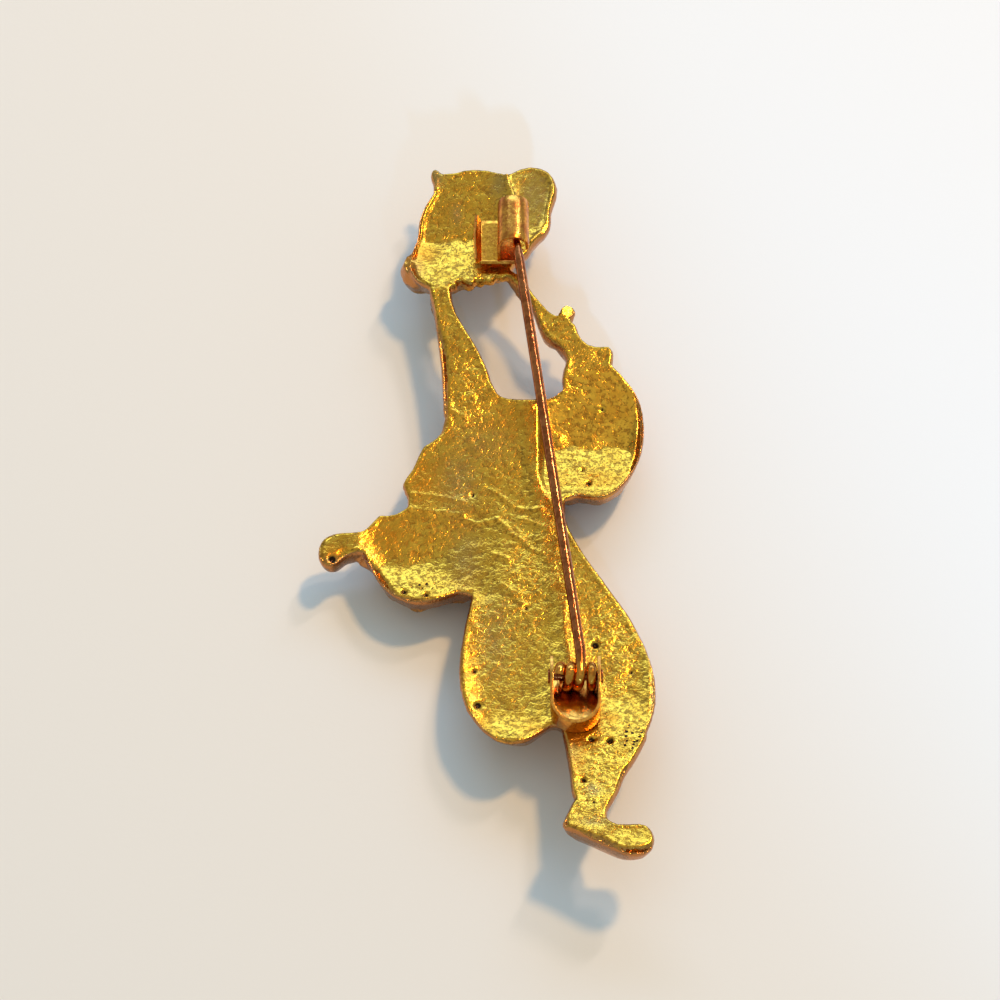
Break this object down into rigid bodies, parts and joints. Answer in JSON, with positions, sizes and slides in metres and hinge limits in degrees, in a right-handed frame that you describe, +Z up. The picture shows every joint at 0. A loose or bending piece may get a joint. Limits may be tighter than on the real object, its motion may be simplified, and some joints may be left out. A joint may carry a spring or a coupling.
{
  "type": "figural brooch",
  "caption": "Cast clown-shaped brooch with a flat, bowed back, a rolled tube catch behind the head and a sprung pin hinged in a small cup on the trousers.",
  "frame": {"origin": "middle of the footprint, on the surface the brooch lies on with its relief side down", "axes": "+Z up out of the back of the figure, +Y towards the head, +X towards the side of the pin's hinge and the figure's raised arm"},
  "size_m": [0.0298, 0.0744, 0.0104],
  "materials": {
    "gold_plate": "gold plate over a rough casting, worn and mottled",
    "copper_gold": "polished rose-coloured plate, darkened"
  },
  "bodies": {
    "brooch": {"figure": "gold_plate", "catch": "copper_gold", "hinge_cup": "copper_gold", "hinge_rivet": "copper_gold"},
    "pin": {"pin_stem": "copper_gold"}
  },
  "joints": [
    {"name": "pin_swing", "type": "hinge", "parent": "brooch", "child": "pin", "pos_m": [0.00786, -0.01981, 0.00733], "axis": [1, 0, 0], "range_deg": [0, 80]}
  ]
}
